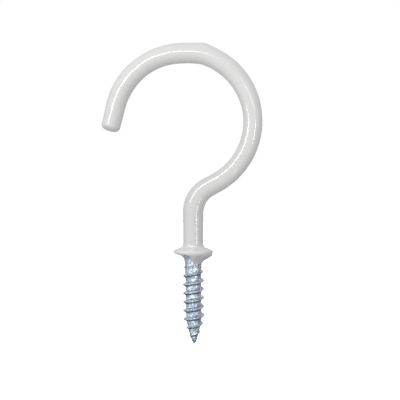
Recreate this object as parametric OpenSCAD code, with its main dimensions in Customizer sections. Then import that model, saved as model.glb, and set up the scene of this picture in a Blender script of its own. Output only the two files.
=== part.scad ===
// Cup hook: one length of steel wire, upset to a collar, rolled to a wood thread, bent to a hook and
// dipped in vinyl down to the collar.
// Frame: Z is the screw's axis and +Z points up the stem. The hook lies in the XZ plane and opens
// towards -X. The origin is on the screw's axis, level with the lower edge of the coated collar.

/* [Wire] */
// Diameter of the bare steel wire
wire_d = 4.2; // [3.4:0.1:5]

/* [Hook] */
// Height of the straight stem, from the seat to the first bend
stem_h = 10; // [7:0.1:18]
// Radius of the first bend, which sets the hook off to one side, on the wire's centreline
offset_r = 6.95; // [5:0.05:10]
// Angle of the first bend
offset_a = 61.7; // [50:0.1:70]
// Straight between the first bend and the loop
offset_run = 2.15; // [1:0.05:6]
// Radius of the loop's side
side_r = 17; // [14:0.1:22]
// Angle that the loop's side turns through
side_a = 131.6; // [105:0.1:135]
// Radius of the tighter bend at the loop's shoulder
shoulder_r = 7.7; // [6:0.1:14]
// Angle of the shoulder's bend
shoulder_a = 14; // [6:1:20]
// Radius of the flatter stretch over the crown
crown_r = 27.5; // [18:0.5:32]
// Angle that the crown turns through
crown_a = 12; // [8:0.5:24]
// Radius of the loop's nose, between the crown and the tip
nose_r = 16.7; // [14:0.1:22]
// Angle that the nose turns through
nose_a = 70.5; // [50:0.1:75]
// Straight at the hook's tip, to the end of the coating
tip_run = 6.1; // [4:0.1:9]
// Rounding of the sheared edge at the steel's end
shear_round = 0.8; // [0.3:0.1:1.2]

/* [Collar] */
// Diameter of the steel collar
collar_d = 9; // [8:0.1:12]
// Thickness of the collar at its rim
rim_t = 0.3; // [0.3:0.05:0.8]
// Slope of the collar's top, in degrees
top_slope = 20.5; // [10:0.5:22]
// Slope of the collar's underside, in degrees
under_slope = 20; // [10:0.5:22]
// Width of the flare at the stem's foot
foot_w = 0.4; // [0.2:0.05:0.7]
// Height of the flare at the stem's foot
foot_h = 0.7; // [0.4:0.05:1.5]
// Radius of the fillet between the collar's underside and the neck
flare_r = 1.7; // [1:0.1:2]
// Straight neck between that fillet and the thread
neck_l = 0.35; // [0.1:0.05:3]

/* [Screw] */
// Length of the threaded part, to the point
thread_l = 19.4; // [14:0.1:30]
// How far the thread's crest stands above the wire
crest_rise = 0.47; // [0.3:0.01:0.7]
// How far the thread's root is sunk below the wire
root_sink = 0.2; // [0.1:0.01:0.4]
// Distance from one crest to the next
pitch = 2.1; // [1.8:0.05:2.8]
// Angle between the thread's flanks
flank_angle = 55; // [40:1:60]
// Width of the flat along the crest
crest_w = 0.12; // [0.08:0.02:0.2]
// Length of the tapered gimlet point
point_l = 5.9; // [4:0.1:9]
// Turns over which the thread rises out of the neck
run_out = 2.5; // [0.2:0.1:4]

/* [Coating] */
// Thickness of the vinyl
coat_t = 0.35; // [0.2:0.05:0.5]
// Rounding of the vinyl over the hook's tip
tip_round = 1.2; // [0.6:0.1:1.6]
// How far the drop that set on the loop's shoulder stands proud of the coating
drop_proud = 0.34; // [0.2:0.02:0.5]
// Angle into the shoulder's bend at which the drop sits
drop_a = 7; // [2:0.5:12]
// Length of the drop, between its rounded ends
drop_l = 1.4; // [0.4:0.1:3]
// Radius of the bulge under the rim where the vinyl ran down the neck, on the side away from the tip
run_bulge_r = 0.85; // [0.5:0.05:1.1]
// How far inside the rim that bulge stays
run_inset = 0.15; // [0.1:0.05:0.4]
// Radius of the fillet between that run and the neck
run_fillet_r = 0.5; // [0.3:0.05:0.8]
// Thickness of that run at its lowest edge
run_edge_t = 0.12; // [0.08:0.02:0.2]
// Bare neck between that edge and the thread
run_gap = 0.05; // [0.02:0.01:0.1]
// Slope of the run's side, from the vertical, in degrees
run_slope = 40; // [20:1:50]
// How far above the thread the run's side reaches at the front
run_rise = 0.35; // [0:0.05:0.8]

/* [Hidden] */
$fn = 96;
// Steps along each arc of a turned section, and along one turn of the thread
ARC_STEPS = 6;
TURN_STEPS = 36;
wire_r = wire_d / 2;
coated_r = wire_r + coat_t;
collar_r = collar_d / 2;
// The rim is round, and its coated lower edge is the seat, at z = 0
rim = [collar_r - rim_t / 2, rim_t / 2 + coat_t];
// The hook's bends in the order in which they are made: radius, then angle. A bend with a negative
// radius turns away from the tip, and one with no radius is a straight of that length.
BENDS = [
    [-offset_r, offset_a],
    [0, offset_run],
    [side_r, side_a],
    [shoulder_r, shoulder_a],
    [crown_r, crown_a],
    [nose_r, nose_a]
];
DROP_BEND = 3;
// Every other length of the bent rod is this much thinner and laps into its neighbours by this much, so
// that no two round faces meet edge to edge
LAP_STEP = 0.01;
LAP = 0.2;
// Radial step where the rolled thread meets the round neck
ROLL_STEP = 0.03;

// Points along an arc of radius r from angle a to angle b, round centre c
function arc(c, r, a, b) =
    [for (i = [0:ARC_STEPS]) let (t = a + (b - a) * i / ARC_STEPS) c + r * [cos(t), sin(t)]];

// The collar's section, grown outwards by g. The top and the underside slope away from the round rim.
function top_z(g, x) = rim[1] + (rim_t / 2 + g) / cos(top_slope) + (rim[0] - x) * tan(top_slope);
function under_z(g, x) = rim[1] - (rim_t / 2 + g) / cos(under_slope) - (rim[0] - x) * tan(under_slope);
function stem_and_collar(g) =
    let (x = wire_r + g)
    let (foot_z = top_z(g, x + foot_w))
    concat(
        [[x, stem_h], [x, foot_z + foot_h], [x + foot_w / 3, foot_z + foot_h / 2], [x + foot_w, foot_z]],
        arc(rim, rim_t / 2 + g, 90 - top_slope, under_slope - 90)
    );

// The neck below the collar: the fillet ends where it comes to the coated underside
FLARE_SHARE = 0.84;
FLARE_STEP = 0.04;
flare_top_x = wire_r + flare_r * (1 - sqrt(1 - pow(FLARE_SHARE, 2)));
flare_top_z = under_z(coat_t, flare_top_x) - FLARE_STEP;
flare_c = [wire_r + flare_r, flare_top_z - FLARE_SHARE * flare_r];
neck_end = flare_c[1] - neck_l;

// Stem, collar and neck, turned about the screw's axis
module shank() {
    under_x = flare_top_x + coat_t / 2;
    rotate_extrude()
        polygon(concat(
            [[0, stem_h]],
            stem_and_collar(0),
            [[under_x, under_z(0, under_x)]],
            arc(flare_c, flare_r, 180 - asin(FLARE_SHARE), 180),
            [[wire_r, neck_end], [0, neck_end]]
        ));
}

// A rod of radius r that follows BENDS from the origin, setting off along +Z, and ends in a straight
// of length run with a rounded end
module bent_rod(r, run, end_round, i = 0) {
    rod_r = i % 2 == 0 ? r - LAP_STEP : r;
    lap = i % 2 == 0 ? LAP : 0;
    if (i == len(BENDS)) {
        rotate_extrude()
            polygon(concat(
                [[0, -lap], [rod_r, -lap]],
                arc([rod_r - end_round, run - end_round], end_round, 0, 90),
                [[0, run]]
            ));
    } else {
        bend(BENDS[i][0], BENDS[i][1], rod_r, lap);
        past_bend(i, BENDS[i][1]) bent_rod(r, run, end_round, i + 1);
    }
}

// One bend or straight of a rod, lengthened by lap at both ends
module bend(bend_r, amount, rod_r, lap) {
    if (bend_r == 0) {
        translate([0, 0, -lap]) cylinder(h = amount + 2 * lap, r = rod_r);
    } else {
        lap_a = lap / abs(bend_r) * 180 / PI;
        translate([-bend_r, 0, 0])
            rotate([90, 0, bend_r < 0 ? 180 : 0])
                rotate([0, 0, -lap_a])
                    rotate_extrude(angle = amount + 2 * lap_a)
                        translate([abs(bend_r), 0]) circle(rod_r);
    }
}

// Moves its children from the start of bend i along it, by an angle or a length
module past_bend(i, amount) {
    bend_r = BENDS[i][0];
    if (bend_r == 0)
        translate([0, 0, amount]) children();
    else
        translate([-bend_r, 0, 0])
            rotate([0, -sign(bend_r) * amount, 0])
                translate([bend_r, 0, 0]) children();
}

// Moves its children along the rod to the start of bend i
module at_bend(i) {
    if (i == 0)
        children();
    else
        at_bend(i - 1) past_bend(i - 1, BENDS[i - 1][1]) children();
}

// The thread is one strip that winds down the root. Its section has four points in each pitch: the
// ridge's upper foot, the two edges of its crest and its lower foot. Depths are below the neck, which
// the root laps into.
ridge_h = crest_rise + root_sink;
first_d = 0.04 + ridge_h * tan(flank_angle / 2) + crest_w / 2;
even_turns = (thread_l - first_d - 0.1) / pitch - 1;
CLOSING_TURNS = 2.5;
steps = floor((even_turns + CLOSING_TURNS) * TURN_STEPS);

// Depth of the crest after u turns. The last turns close up on the point.
function crest_depth(u) = first_d + pitch * (u < even_turns ? u : even_turns + 1 - exp(even_turns - u));
// Share of the way up the gimlet point at depth d, from 0 at its end to 1
function point_share(d) = min(1, max(0, (thread_l - d) / point_l));
// The root narrows from the neck's size over two turns, and then to the point in an ogive
function root_at(d) =
    (wire_r - ROLL_STEP - (root_sink - ROLL_STEP) * min(1, d / (2 * pitch))) * pow(point_share(d), 0.6);
function ridge_at(u) = ridge_h * min(1, u / run_out) * pow(point_share(crest_depth(u)), 1.3);

// Point j of the section, u turns down the thread
function thread_point(u, j) =
    let (h = ridge_at(u))
    let (is_foot = j == 0 || j == 3)
    let (half = crest_w / 2 + (is_foot ? h * tan(flank_angle / 2) : 0))
    let (d = crest_depth(u) + (j < 2 ? -half : half))
    let (r = root_at(d) + (is_foot ? 0 : h))
    [r * cos(360 * u), -r * sin(360 * u), -d];

// Index of point j at step i, where point 4 is the upper foot of the next turn's ridge
function at(i, j) = TURN_STEPS + (j < 4 ? 4 * i + j : 4 * (i + TURN_STEPS));

module wood_thread() {
    last = TURN_STEPS - 1;
    ring_r = wire_r - ROLL_STEP;
    ring = [for (i = [0:last]) let (a = 360 * i / TURN_STEPS) [ring_r * cos(a), -ring_r * sin(a), LAP]];
    strip = [for (i = [0:steps]) for (j = [0:3]) thread_point(i / TURN_STEPS, j)];
    apex = TURN_STEPS + len(strip);
    // The seam down the start of the strip, and the loop round its end
    seam = concat([0], [for (j = [0:4]) at(0, j)]);
    loop = concat([for (i = [steps - TURN_STEPS:steps]) at(i, 3)], [for (j = [2:-1:0]) at(steps, j)]);
    faces = concat(
        [[for (i = [0:last]) i]],
        [for (i = [0:last - 1]) for (t = [[i, at(i, 0), at(i + 1, 0)], [i, at(i + 1, 0), i + 1]]) t],
        [[last, at(last, 0), 0]],
        [for (k = [0:len(seam) - 2]) [at(last, 0), seam[k + 1], seam[k]]],
        [for (i = [0:steps - 1]) for (j = [0:(i < steps - TURN_STEPS ? 3 : 2)])
            for (t = [[at(i, j), at(i, j + 1), at(i + 1, j + 1)], [at(i, j), at(i + 1, j + 1), at(i + 1, j)]]) t],
        [for (k = [0:len(loop) - 1]) [loop[k], apex, loop[(k + 1) % len(loop)]]]
    );
    polyhedron(points = concat(ring, strip, [[0, 0, -thread_l]]), faces = faces, convexity = 10);
}

// The bare wire above the thread
module plain_wire() {
    shank();
    translate([0, 0, stem_h]) bent_rod(wire_r, tip_run - coat_t, shear_round);
}

// Angle about Z at which the thread starts, at the front
THREAD_START = 258;

module steel_hook() {
    color("lightsteelblue") {
        plain_wire();
        translate([0, 0, neck_end]) rotate([0, 0, THREAD_START]) wood_thread();
    }
}

// The coated stem and collar, solid, down to where the vinyl's edge dies into the neck's fillet
module coated_collar() {
    low_z = under_z(coat_t, wire_r);
    rotate_extrude()
        polygon(concat([[0, stem_h]], stem_and_collar(coat_t), [[wire_r, low_z], [0, low_z]]));
}

// Where the vinyl ran down past the collar's underside before it set, cut back to one side
module neck_run() {
    edge_x = wire_r + run_edge_t;
    edge_z = neck_end + run_gap;
    bulge = [rim[0] + rim_t / 2 + coat_t - run_bulge_r - run_inset, 0];
    fillet = [edge_x + run_fillet_r, edge_z + 0.1];
    intersection() {
        rotate_extrude()
            polygon(concat(
                [[0, rim[1]], [bulge[0] + run_bulge_r, rim[1]]],
                arc(bulge, run_bulge_r, 0, -60),
                arc(fillet, run_fillet_r, 120, 180),
                [[edge_x, edge_z], [0, edge_z]]
            ));
        translate([0, 0, neck_end + run_rise])
            rotate([0, -run_slope, 0])
                translate([0, -collar_d, -collar_d]) cube(2 * collar_d);
    }
}

// The drop, as a round-ended rod that stands up from the origin
module drop() {
    rotate_extrude()
        polygon(concat(arc([0, 0], coated_r, -90, 0), arc([0, drop_l], coated_r, 0, 90)));
}

module vinyl_coating() {
    color("gainsboro")
        difference() {
            union() {
                coated_collar();
                neck_run();
                translate([0, 0, stem_h]) {
                    bent_rod(coated_r, tip_run, tip_round);
                    at_bend(DROP_BEND) past_bend(DROP_BEND, drop_a)
                        translate([drop_proud, 0, -drop_l / 2]) drop();
                }
            }
            plain_wire();
        }
}

steel_hook();
vinyl_coating();
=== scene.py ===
import math

import bmesh
import bpy
from mathutils import Matrix, Vector, noise


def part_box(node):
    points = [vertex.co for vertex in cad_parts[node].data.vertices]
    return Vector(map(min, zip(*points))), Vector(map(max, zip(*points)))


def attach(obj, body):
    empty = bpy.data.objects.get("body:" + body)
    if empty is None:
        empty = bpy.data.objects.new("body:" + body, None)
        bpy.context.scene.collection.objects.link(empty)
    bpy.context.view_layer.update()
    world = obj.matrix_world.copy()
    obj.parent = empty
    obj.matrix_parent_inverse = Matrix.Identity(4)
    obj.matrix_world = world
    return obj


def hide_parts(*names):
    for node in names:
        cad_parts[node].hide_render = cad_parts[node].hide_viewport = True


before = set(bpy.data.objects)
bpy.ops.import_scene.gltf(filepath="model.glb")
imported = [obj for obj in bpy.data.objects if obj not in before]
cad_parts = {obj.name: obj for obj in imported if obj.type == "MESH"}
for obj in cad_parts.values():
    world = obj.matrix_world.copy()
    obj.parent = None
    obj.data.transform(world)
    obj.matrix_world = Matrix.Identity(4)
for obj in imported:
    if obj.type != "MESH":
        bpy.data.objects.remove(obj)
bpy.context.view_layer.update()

# ---------------------------------------------------------------------------------------------
# Steel hook: one length of mild steel wire. The collar is upset from it cold, the wood thread is
# rolled below the collar, and the blank is zinc plated with a blue passivate. The bends come last,
# and the far end is left as the shear cut it.

MM = 0.001
SAME = 0.001 * MM  # points nearer than this are one point
WIRE_R = 2.1 * MM
STEM_H = 10 * MM
# The bends in order: radius in millimetres and angle in degrees. A negative radius turns away from the
# tip, and a bend with no radius is a straight of that many millimetres.
BENDS = [(-6.95, 61.7), (0, 2.15), (17, 131.6), (7.7, 14), (27.5, 12), (16.7, 70.5)]
BEND_STEP = 1.2 * MM
TIP_RUN = 6.1 * MM
SHEAR_ROUND = 0.8 * MM
SHEAR_SLANT = math.tan(math.radians(8))
CAP_RINGS = (0.85, 0.6, 0.3)  # rings on a rod's flat end, as shares of its radius

# The collar: a round rim between two sloping faces, with a small foot that runs up into the stem
COAT_T = 0.35 * MM
RIM_T = 0.3 * MM
RIM_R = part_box("vinyl_coating")[1].y - COAT_T - RIM_T / 2
RIM_Z = RIM_T / 2 + COAT_T
TOP_SLOPE = math.radians(20.5)
UNDER_SLOPE = math.radians(20)
UNDER_R = 3.05 * MM
FOOT_R = 0.45 * MM
FOOT_H = 1.15 * MM
FOOT_CURVE = 2.3
ARC_POINTS = 12
SIDES = 112

# The neck flares out under the collar
NECK_L = 0.35 * MM
FLARE_R = 1.7 * MM
FLARE_TURN = math.asin(0.84)
FLARE_POINTS = 8


def arc(centre, radius, start, end, count):
    """Points (radius, height) along an arc, angles in radians from straight outwards."""
    turns = [start + (end - start) * i / count for i in range(count + 1)]
    return [(centre[0] + radius * math.cos(t), centre[1] + radius * math.sin(t)) for t in turns]


def top_height(grow, x):
    """Height of the collar's top face at a distance x from the axis, grown by the skin's thickness."""
    return RIM_Z + (RIM_T / 2 + grow) / math.cos(TOP_SLOPE) + (RIM_R - x) * math.tan(TOP_SLOPE)


def under_height(x):
    """Height of the steel collar's lower face at a distance x from the axis."""
    return RIM_Z - RIM_T / 2 / math.cos(UNDER_SLOPE) - (RIM_R - x) * math.tan(UNDER_SLOPE)


def collar_and_stem(grow, lowest):
    """Section of the collar and stem, from the angle lowest on the round rim up to the first bend."""
    x = WIRE_R + grow
    foot = top_height(grow, x + FOOT_R)
    rim = arc((RIM_R, RIM_Z), RIM_T / 2 + grow, lowest, math.pi / 2 - TOP_SLOPE, ARC_POINTS)
    shares = [i / ARC_POINTS for i in range(ARC_POINTS + 1)]
    run_up = [(x + FOOT_R * (1 - share) ** FOOT_CURVE, foot + FOOT_H * share) for share in shares]
    return rim + run_up + [(x, STEM_H)]


def turn_section(mesh, section):
    """Turns a section of (radius, height) points about the screw's axis, points on the axis closed."""
    points = [mesh.verts.new((x, 0, z)) for x, z in section]
    edges = [mesh.edges.new(pair) for pair in zip(points, points[1:])]
    geom = points + edges
    bmesh.ops.spin(mesh, geom=geom, axis=(0, 0, 1), angle=math.tau, steps=SIDES, use_merge=True)
    bmesh.ops.remove_doubles(mesh, verts=mesh.verts, dist=SAME)


def ring_at(mesh, height):
    """The edges of the level ring at that height."""
    return [e for e in mesh.edges if all(abs(v.co.z - height) < SAME for v in e.verts)]


def push(mesh, ring, step=(0, 0, 0), pivot=(0, 0, 0), angle=0):
    """Extrudes a ring of edges by one step: a move, or a turn towards the tip about a pivot."""
    made = bmesh.ops.spin(mesh, geom=ring, cent=pivot, axis=(0, -1, 0), dvec=step, angle=angle, steps=1)
    return [e for e in made["geom_last"] if isinstance(e, bmesh.types.BMEdge)]


def vertices_of(ring):
    return list({v for edge in ring for v in edge.verts})


def bend_wire(mesh, ring, gap, run):
    """Pushes the stem's top ring through the bends, then straight on for run, a ring at each gap or
    so. Yields each new ring with its centre, its heading and its distance from the first bend."""
    centre, ahead, done = Vector((0, 0, STEM_H)), Vector((0, 0, 1)), 0
    for radius, amount in BENDS + [(0, run / MM)]:
        length = (abs(math.radians(amount) * radius) if radius else amount) * MM
        steps = max(1, round(length / gap))
        for _ in range(steps):
            if radius:
                side = Vector((-ahead.z, 0, ahead.x))
                pivot = centre + side * radius * MM
                angle = math.copysign(math.radians(amount) / steps, radius)
                ring = push(mesh, ring, pivot=pivot, angle=angle)
                turn = Matrix.Rotation(-angle, 3, "Y")
                centre, ahead = pivot + turn @ (centre - pivot), turn @ ahead
            else:
                step = ahead * length / steps
                ring = push(mesh, ring, step)
                centre = centre + step
            done += length / steps
            yield ring, centre.copy(), ahead.copy(), done


def close_end(mesh, ring, centre, ahead, radius, rounding, steps):
    """Rounds the edge of a rod's end and closes it. Returns the vertices of the rounded end."""
    made = []
    for i in range(1, steps + 1):
        before, after = [math.pi / 2 * k / steps for k in (i - 1, i)]
        step = ahead * rounding * (math.sin(after) - math.sin(before))
        ring = push(mesh, ring, step)
        centre = centre + step
        wide, narrow = [radius - rounding + rounding * math.cos(t) for t in (before, after)]
        verts = vertices_of(ring)
        bmesh.ops.scale(mesh, vec=(narrow / wide,) * 3, space=Matrix.Translation(-centre), verts=verts)
        made += verts
    for share in CAP_RINGS:
        ring = push(mesh, ring)
        verts = vertices_of(ring)
        for v in verts:
            v.co = centre + (v.co - centre).normalized() * (radius - rounding) * share
        made += verts
    cap = bmesh.ops.contextual_create(mesh, geom=ring)["faces"]
    poked = bmesh.ops.poke(mesh, faces=cap)
    return made + poked["verts"]


def slant_end(verts, centre, ahead, rounding):
    """Slants a rounded end, as the shear cut it: the front is cut shorter than the back."""
    for v in verts:
        share = min(1, (v.co - centre).dot(ahead) / rounding)
        v.co += ahead * v.co.y * SHEAR_SLANT * share


def finish_mesh(mesh, name):
    """Turns the working mesh into a smooth object that stands at the origin."""
    bmesh.ops.recalc_face_normals(mesh, faces=mesh.faces)
    for face in mesh.faces:
        face.smooth = True
    data = bpy.data.meshes.new(name)
    mesh.to_mesh(data)
    mesh.free()
    piece = bpy.data.objects.new(name, data)
    bpy.context.scene.collection.objects.link(piece)
    return piece


# The thread, down to the point. Turns are counted from the first crest, and close up on the point.
POINT_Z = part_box("steel_hook")[0].z
THREAD_L = 19.4 * MM
NECK_END = POINT_Z + THREAD_L
THREAD_STEP = 0.045 * MM
THREAD_START = math.radians(258)
PITCH = 2.1 * MM
FIRST_CREST = 0.45 * MM
TURNS_MEET = 0.1 * MM  # how far above the tip the turns run together
EVEN_TURNS = (THREAD_L - FIRST_CREST - TURNS_MEET) / PITCH - 1
POINT_L = 5.9 * MM
# The root sinks a little below the wire over the first turns, and tapers over the point
ROOT_SINK = 0.2 * MM
SINK_L = 2 * PITCH
ROOT_TAPER = 0.6
ROOT_FILLET = 0.16 * MM
# The ridge starts a quarter turn above the first crest and rises over RUN_OUT turns
RIDGE_H = 0.72 * MM
RIDGE_TAPER = 1.3
RIDGE_EARLY = 0.25
RUN_OUT = 1.75
FLANK = math.radians(34)
CREST_HALF = 0.09 * MM
# The painted shade under each crest: how far down the lower flank, how wide, and how many turns early
# it starts
CREST_SHADE_AT = 0.75
CREST_SHADE_W = 0.24 * MM
CREST_SHADE_EARLY = 0.4
# The rolling dies' dents, large and small: how far across and how high, in millimetres
DENTS = [(0.55, 0.028), (0.22, 0.010)]
DENT_FADE = 0.6 * MM
LEAN = math.tan(math.radians(0.73))


def point_share(depth):
    """1 above the tapering point, and down to 0 at its tip."""
    return min(1, max(0, (THREAD_L - depth) / POINT_L))


def turns_down(depth):
    """How many turns of the thread lie above that depth."""
    turns = (depth - FIRST_CREST) / PITCH
    if turns <= EVEN_TURNS:
        return turns
    return EVEN_TURNS - math.log(max(1e-4, 1 - (turns - EVEN_TURNS)))


def soft_max(a, b, blend):
    """The larger of two heights, with the corner between them rounded."""
    near = max(0, blend - abs(a - b)) / blend
    return max(a, b) + near * near * blend / 4


def thread_at(depth, around):
    """Radius of the rolled screw at a depth below the neck and an angle around it, and how much painted
    shade
    darkens it there: the lower flank under each crest is painted darker."""
    share = point_share(depth)
    sink = ROOT_SINK * min(1, max(0, depth) / SINK_L)
    root = (WIRE_R - sink) * share**ROOT_TAPER
    turns = turns_down(depth)
    away = turns - (THREAD_START - around) / math.tau
    from_crest = away - round(away)
    turn = turns - from_crest
    squeeze = 1 if turns < EVEN_TURNS else math.exp(EVEN_TURNS - turns)
    below = from_crest * PITCH * squeeze
    height = RIDGE_H * share**RIDGE_TAPER * min(1, max(0, turn + RIDGE_EARLY) / RUN_OUT)
    flank = height - max(0, abs(below) - CREST_HALF) / math.tan(FLANK)
    foot = CREST_HALF + height * math.tan(FLANK)
    # Painted shade under the crest, on the lower flank
    crest_shade = math.exp(-(((below - CREST_SHADE_AT * foot) / CREST_SHADE_W) ** 2))
    crest_shade *= min(1, max(0, turn + CREST_SHADE_EARLY))
    return root + max(0, soft_max(flank, 0, min(ROOT_FILLET, height + 1e-9))), crest_shade


def roll_thread(mesh):
    """Raises the thread out of the turned blank, with the dies' dents on it, and leans the screw."""
    crest_shades = mesh.verts.layers.float.new("crest_shade")
    for v in mesh.verts:
        depth = NECK_END - v.co.z
        if depth < -NECK_L / 2 or v.co.xy.length < SAME:
            continue
        around = math.atan2(v.co.y, v.co.x)
        radius, v[crest_shades] = thread_at(depth, around)
        place = Vector((math.cos(around), math.sin(around), 0)) * radius
        place.z = v.co.z
        dent = sum(noise.noise(place / (across * MM)) * high * MM for across, high in DENTS)
        radius += dent * min(1, 2 * point_share(depth)) * min(1, max(0, depth / DENT_FADE))
        v.co.x = math.cos(around) * radius + max(0, depth) * LEAN
        v.co.y = math.sin(around) * radius


steel = bmesh.new()
flare_centre = (WIRE_R + FLARE_R, NECK_END + NECK_L)
thread_rings = round(THREAD_L / THREAD_STEP)
blank = [(0, POINT_Z)]
blank += [(WIRE_R, POINT_Z + THREAD_L * i / thread_rings) for i in range(1, thread_rings + 1)]
blank += arc(flare_centre, FLARE_R, math.pi, math.pi - FLARE_TURN, FLARE_POINTS)
blank += [(UNDER_R, under_height(UNDER_R))] + collar_and_stem(0, UNDER_SLOPE - math.pi / 2)
turn_section(steel, blank)
roll_thread(steel)
rings = list(bend_wire(steel, ring_at(steel, STEM_H), BEND_STEP, TIP_RUN - COAT_T - SHEAR_ROUND))
ring, centre, ahead, _ = rings[-1]
end = close_end(steel, ring, centre, ahead, WIRE_R, SHEAR_ROUND, steps=6)
slant_end(end, centre, ahead, SHEAR_ROUND)
steel_hook = finish_mesh(steel, "zinc_plated_hook")


class Field:
    """A socket of a node tree, so that shader maths is written as a Python expression."""

    def __init__(self, shading, socket):
        self.shading, self.socket = shading, socket

    def maths(self, operation, *values):
        return self.shading.node("ShaderNodeMath", {"operation": operation}, dict(enumerate(values)))

    def __add__(self, other):
        return self.maths("ADD", self, other)

    def __sub__(self, other):
        return self.maths("SUBTRACT", self, other)

    def __rsub__(self, other):
        return self.maths("SUBTRACT", other, self)

    def __mul__(self, other):
        return self.maths("MULTIPLY", self, other)

    __radd__, __rmul__ = __add__, __mul__

    def between(self, low, high):
        """0 up to low, 1 from high, and smooth between."""
        sockets = {0: self, 1: low, 2: high}
        settings = {"interpolation_type": "SMOOTHSTEP"}
        return self.shading.node("ShaderNodeMapRange", settings, sockets)


class Shading:
    """A node tree whose nodes are all made by the one method below."""

    def __init__(self, owner):
        owner.use_nodes = True
        self.tree = owner.node_tree

    def node(self, kind, settings=None, sockets=None, output=0):
        made = self.tree.nodes.new(kind)
        for name, value in (settings or {}).items():
            setattr(made, name, value)
        for name, value in (sockets or {}).items():
            self.feed(made.inputs[name], value)
        return Field(self, made.outputs[output])

    def feed(self, socket, value):
        if isinstance(value, Field):
            self.tree.links.new(value.socket, socket)
        else:
            socket.default_value = value


class Finish(Shading):
    """A piece's material."""

    def __init__(self, name, **plain):
        self.material = bpy.data.materials.new(name)
        super().__init__(self.material)
        self.shader = self.tree.nodes["Principled BSDF"]
        for socket, value in plain.items():
            self.shader.inputs[socket.replace("_", " ")].default_value = value

    def place(self):
        """The point on the piece, in metres."""
        return self.node("ShaderNodeTexCoord", output="Object")

    def grain(self, size, detail):
        """Soft noise from 0 to 1, whose patches are about that many metres across."""
        sockets = {"Vector": self.place(), "Scale": 1 / size, "Detail": detail}
        return self.node("ShaderNodeTexNoise", None, sockets)

    def mix(self, share, a, b):
        """Colour a where share is 0 and b where it is 1."""
        settings = {"data_type": "RGBA"}
        sockets = {"Factor": share, 6: a, 7: b}
        return self.node("ShaderNodeMix", settings, sockets, output=2)

    def bump(self, height, depth):
        """Normals for a relief of that depth in metres, from a height of 0 to 1."""
        sockets = {"Strength": 1.0, "Distance": depth, "Height": height}
        return self.node("ShaderNodeBump", None, sockets)

    def wear(self, **fields):
        """Feeds the shader's own sockets."""
        for socket, field in fields.items():
            self.feed(self.shader.inputs[socket.replace("_", " ")], field)


BLUE_ZINC = (0.38, 0.48, 0.62, 1)
BRIGHT_ZINC = (0.88, 0.92, 0.96, 1)
PITTED_ZINC = (0.17, 0.22, 0.30, 1)
CREST_SHADE_ZINC = (0.06, 0.09, 0.14, 1)

# Bright and bluer patches, small pits, and painted shade on the lower flank under each crest
zinc = Finish("blue_zinc", Metallic=1.0)
patches = zinc.grain(0.5 * MM, 3).between(0.42, 0.58)
pits = zinc.grain(0.24 * MM, 2)
plain = zinc.mix(patches, BLUE_ZINC, BRIGHT_ZINC)
pitted = zinc.mix(pits.between(0.42, 0.30), plain, PITTED_ZINC)
# Painted shade: the zinc is painted darker on the lower flank under each crest, where shade falls
crest_shade = zinc.node("ShaderNodeAttribute", {"attribute_name": "crest_shade"}, output="Fac")
zinc.wear(
    Base_Color=zinc.mix(0.8 * crest_shade, pitted, CREST_SHADE_ZINC),
    Roughness=0.40 - 0.16 * patches,
    Normal=zinc.bump(pits + patches * 0.6, 0.05 * MM),
)
steel_hook.data.materials.append(zinc.material)
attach(steel_hook, "root")
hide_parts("steel_hook")

# ---------------------------------------------------------------------------------------------
# Vinyl coating: the hook is dipped, tip first, in liquid vinyl down to just past the collar, hung
# up and cured. The skin is even but for what ran before it set: a drop on the crown, a run down one
# side of the neck, and a full, rounded tip.

COAT_R = WIRE_R + COAT_T
COAT_STEP = 0.5 * MM
TIP_ROUND = 1.2 * MM
# Distance from the first bend, and how much thicker than even the skin is there, in millimetres
SWELL = [(0, 0.02), (2, 0.04), (4.5, 0), (9, -0.1), (20, -0.14), (29, -0.13), (37, -0.04), (44, 0),
         (55, 0), (60, -0.04), (66, -0.05), (71, 0), (76, -0.06), (79, -0.13), (83, -0.17)]
# A faint unevenness all along
WAVE_L = 6 * MM
WAVE_H = 0.005 * MM
# The drop on the crown: how far along the hook, how proud, and how far it reaches both ways
DROP_AT = 49.85 * MM
DROP_PROUD = 0.33 * MM
DROP_REACH = 4 * MM
DROP_CURVE = 2.4
# The wall of the shell all over: the skin's thinnest place, so that the inner side clears the steel
WALL = 0.17 * MM
# The skin's edge under the collar as (radius, height) in millimetres, from the rim inwards: where it
# covers the underside, where it drew back to the rim, and where it ran, at the side and at the front
COVERED = [(4.71, 0.15), (4.53, 0.03), (4.3, -0.05), (3.9, -0.2), (3.4, -0.38), (3.0, -0.53),
           (2.88, -0.6), (2.78, -0.7), (2.7, -0.79), (2.6, -0.8)]
BARE = [(4.71, 0.15), (4.62, 0.02), (4.5, -0.06), (4.35, -0.1), (4.2, -0.1), (4.08, -0.06),
        (4.0, 0.02), (3.96, 0.1), (3.94, 0.16), (3.93, 0.2)]
RAN = [(4.76, 0.05), (4.68, -0.22), (4.55, -0.5), (4.25, -0.76), (3.6, -1.2), (2.95, -1.55),
       (2.55, -1.8), (2.38, -2.02), (2.24, -2.28), (2.05, -2.33)]
RAN_FRONT = [(4.74, 0.05), (4.6, -0.2), (4.32, -0.45), (3.95, -0.72), (3.55, -1.02), (3.15, -1.34),
             (2.8, -1.66), (2.52, -1.96), (2.3, -2.26), (2.05, -2.33)]
EDGE_RINGS = 27
RIM_EDGE = math.radians(-32)  # where it begins on the round rim
# Angles round the neck, both ways from the right: where the run turns from its side to its front, where
# it ends, narrower lower down, and where the bare part ends
SIDE_TO_FRONT = math.radians(20), math.radians(80)
RUN_EDGE = math.radians(109)
RUN_NARROWS = math.radians(13)
RUN_SOFT = math.radians(7)
BARE_EDGE = math.radians(130)
BARE_SOFT = math.radians(18)


def smooth_step(value, low, high):
    """0 up to low, 1 from high, and smooth between."""
    share = min(1, max(0, (value - low) / (high - low)))
    return share * share * (3 - 2 * share)


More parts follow.
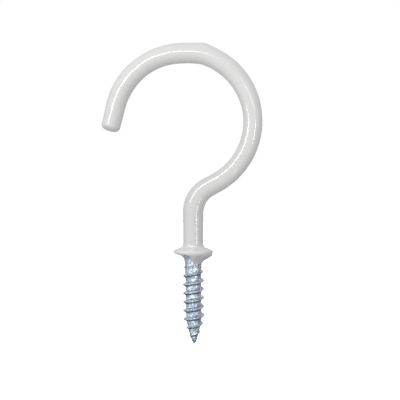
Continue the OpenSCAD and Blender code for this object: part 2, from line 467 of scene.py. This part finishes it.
def through(points, share):
    """A smooth curve through the points, read at a share from 0 to 1 of the way along."""
    last = len(points) - 1
    k = min(int(share * last), last - 1)
    t = share * last - k
    a, b, c, d = [Vector(points[min(max(i, 0), last)]) for i in range(k - 1, k + 3)]
    square, cube = 2 * a - 5 * b + 4 * c - d, 3 * b - a - 3 * c + d
    return 0.5 * (2 * b + (c - a) * t + square * t**2 + cube * t**3)


def swell_at(distance):
    """Extra thickness of the skin at a distance along the hook, in metres."""
    for (start, low), (end, high) in zip(SWELL, SWELL[1:]):
        if distance <= end * MM:
            return (low + (high - low) * smooth_step(distance, start * MM, end * MM)) * MM
    return SWELL[-1][1] * MM


def drop_at(distance, out, side):
    """How far the drop stands proud of the crown, on the outside of the bend alone."""
    share = max(0, 1 - abs(distance - DROP_AT) / DROP_REACH)
    return DROP_PROUD * share**DROP_CURVE * max(0, out.dot(side)) ** 2


coat = bmesh.new()
turn_section(coat, collar_and_stem(COAT_T, RIM_EDGE))
ring = ring_at(coat, min(v.co.z for v in coat.verts))
for i in range(1, EDGE_RINGS + 1):
    share = i / EDGE_RINGS
    covered, bare, ran, front = [through(line, share) * MM for line in (COVERED, BARE, RAN, RAN_FRONT)]
    edge = RUN_EDGE - RUN_NARROWS * share
    ring = push(coat, ring)
    for v in vertices_of(ring):
        around = math.atan2(v.co.y, v.co.x)
        ragged = abs(around) + 0.03 * math.sin(3 * around) + 0.02 * math.sin(7 * around + 1)
        spot = bare.lerp(covered, smooth_step(ragged, BARE_EDGE - BARE_SOFT, BARE_EDGE + BARE_SOFT))
        run = ran.lerp(front, smooth_step(abs(around), *SIDE_TO_FRONT))
        spot = run.lerp(spot, smooth_step(ragged, edge - RUN_SOFT, edge + RUN_SOFT))
        v.co = (spot.x * math.cos(around), spot.x * math.sin(around), spot.y)
stem_top = ring_at(coat, STEM_H)
for ring, centre, ahead, distance in bend_wire(coat, stem_top, COAT_STEP, TIP_RUN - TIP_ROUND):
    side = Vector((ahead.z, 0, -ahead.x))
    for v in vertices_of(ring):
        out = (v.co - centre).normalized()
        wave = noise.noise(v.co / WAVE_L) * WAVE_H
        v.co = centre + out * (COAT_R + swell_at(distance) + drop_at(distance, out, side) + wave)
tip = close_end(coat, ring, centre, ahead, COAT_R + swell_at(distance), TIP_ROUND, steps=8)
slant_end(tip, centre, ahead, TIP_ROUND)
vinyl_skin = finish_mesh(coat, "dipped_vinyl")
wall = vinyl_skin.modifiers.new("wall", "SOLIDIFY")
wall.thickness = WALL
wall.offset = -1

SHADED_STEM_TONES = (0.63, 0.63, 0.625, 1), (0.67, 0.67, 0.665, 1)
LIT_LOOP_TONES = (0.77, 0.77, 0.765, 1), (0.80, 0.80, 0.795, 1)
UNDER_COLLAR_SHADE_TONE = (0.55, 0.55, 0.555, 1)
COLLAR_TOP_LIGHT_TONE = (0.84, 0.84, 0.835, 1)

# Cloudy tones over a faint orange peel, with painted shade and light: the stem is painted darker and
# the
#  loop lighter. The skin is painted darker under the collar as painted shade, and lighter on the
#  collar's top face as a painted pool of light.
vinyl = Finish("white_vinyl", IOR=1.5, Specular_IOR_Level=1.0)
cloud = vinyl.grain(7 * MM, 3)
peel = vinyl.grain(1.6 * MM, 1)
height = vinyl.node("ShaderNodeSeparateXYZ", None, {"Vector": vinyl.place()}, output=2)
stem, loop = vinyl.mix(cloud, *SHADED_STEM_TONES), vinyl.mix(cloud, *LIT_LOOP_TONES)
# Painted shade and light: the stem is painted darker and the loop lighter
skin = vinyl.mix(height.between(-10 * MM, 55 * MM), stem, loop)
# Painted shade: the skin under the collar's rim is painted darker
skin = vinyl.mix(height.between(-0.4 * MM, 0.4 * MM), UNDER_COLLAR_SHADE_TONE, skin)
# Painted light: a lighter band on the collar's top face, a painted pool of the light from above
collar_top_light = height.between(-0.1 * MM, 0.9 * MM) - height.between(1.6 * MM, 2.8 * MM)
vinyl.wear(
    Base_Color=vinyl.mix(0.6 * collar_top_light, skin, COLLAR_TOP_LIGHT_TONE),
    Roughness=0.07 + 0.05 * cloud,
    Normal=vinyl.bump(peel, 0.0008 * MM),
)
vinyl_skin.data.materials.append(vinyl.material)
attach(vinyl_skin, "root")
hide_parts("vinyl_coating")

# ---------------------------------------------------------------------------------------------
# Studio: a white floor that lights nothing, a pale surround that glows most from the front and lights
# the hook, and long lamps close in front of it for its highlights.

scene = bpy.context.scene
scene.view_settings.view_transform = "Standard"

world = bpy.data.worlds.new("studio")
scene.world = world
sky = Shading(world)
heading = sky.node("ShaderNodeTexCoord", output="Generated")
# The surround glows to the front and a little to the left, and less so up at the back
TO_FRONT, TO_BACK = (-0.36, -0.91, 0.20), (0, 0.75, 0.66)
dot = {"operation": "DOT_PRODUCT"}
frontward = sky.node("ShaderNodeVectorMath", dot, {0: heading, 1: TO_FRONT}, output="Value")
backward = sky.node("ShaderNodeVectorMath", dot, {0: heading, 1: TO_BACK}, output="Value")
glow = 0.37 + 0.78 * frontward.between(-0.3, 1) + 0.32 * backward.between(0.1, 0.9)
surround = sky.node("ShaderNodeBackground", None, {"Color": (1, 1, 1, 1), "Strength": glow})
white = sky.node("ShaderNodeBackground", None, {"Color": (1, 1, 1, 1)})
seen = sky.node("ShaderNodeLightPath", output="Is Camera Ray")
both = sky.node("ShaderNodeMixShader", None, {0: seen, 1: surround, 2: white})
sky.feed(sky.tree.nodes["World Output"].inputs["Surface"], both)

FLOOR_R = 2.0
FLOOR_Z = -0.06
floor_mesh = bmesh.new()
bmesh.ops.create_circle(floor_mesh, cap_ends=True, segments=64, radius=FLOOR_R)
bmesh.ops.translate(floor_mesh, vec=(0, 0, FLOOR_Z), verts=floor_mesh.verts)
floor = finish_mesh(floor_mesh, "floor")
WHITE = (1, 1, 1, 1)
floor_finish = Finish("pale_floor", Base_Color=WHITE, Emission_Color=WHITE, Emission_Strength=1.0)
floor.data.materials.append(floor_finish.material)
floor.visible_diffuse = floor.visible_glossy = False

LAMPS_AHEAD = 35  # millimetres in front of the hook
AIM_H = 25  # millimetres up from the seat, where every lamp is aimed


def strip_light(name, start, end, width, brightness, aim=0, spread=180):
    """A long lamp between two points (x, z) in front of the hook, turned to face the point at x = aim
    in the hook's plane, all in millimetres. It is seen in reflections only."""
    start, end = [Vector((x, -LAMPS_AHEAD, z)) * MM for x, z in (start, end)]
    light = bpy.data.lights.new(name, "AREA")
    light.shape = "RECTANGLE"
    light.size, light.size_y = width * MM, (end - start).length
    light.energy = brightness * math.pi**2 * light.size * light.size_y
    light.spread = math.radians(spread)
    lamp = bpy.data.objects.new(name, light)
    lamp.location = (start + end) / 2
    along = (end - start).normalized()
    back = lamp.location - Vector((aim * MM, 0, AIM_H * MM))
    across = along.cross(back).normalized()
    lamp.rotation_euler = Matrix((across, along, across.cross(along))).transposed().to_euler()
    lamp.visible_camera = lamp.visible_diffuse = False
    scene.collection.objects.link(lamp)


strip_light("left_strip", (-45.5, 26), (-38, 40), 8, 1.8)
strip_light("left_top_strip", (-38, 40), (-14, 60), 7.5, 3.0)
strip_light("top_strip", (-16, 57), (1, 53), 5.5, 2.0)
strip_light("top_right_strip", (1, 53), (5, 51.5), 5, 1.0)
strip_light("right_top_strip", (14, 47), (31, 40), 4, 0.36, aim=5, spread=90)
strip_light("right_strip", (33.5, 24), (33, 37), 4.5, 0.20, aim=10, spread=56)
strip_light("low_right_strip", (28.5, -9), (28.5, 9), 4.5, 0.21, aim=5, spread=56)

# The camera stands level in front of the hook
camera_data = bpy.data.cameras.new("camera")
camera_data.sensor_width = 36
camera_data.lens = 61.2
camera = bpy.data.objects.new("camera", camera_data)
camera.location = Vector((1.66, -165, 13.0)) * MM
camera.rotation_euler = (math.radians(90), 0, 0)
camera_data.clip_start, camera_data.clip_end = 0.01, 10
scene.collection.objects.link(camera)
scene.camera = camera
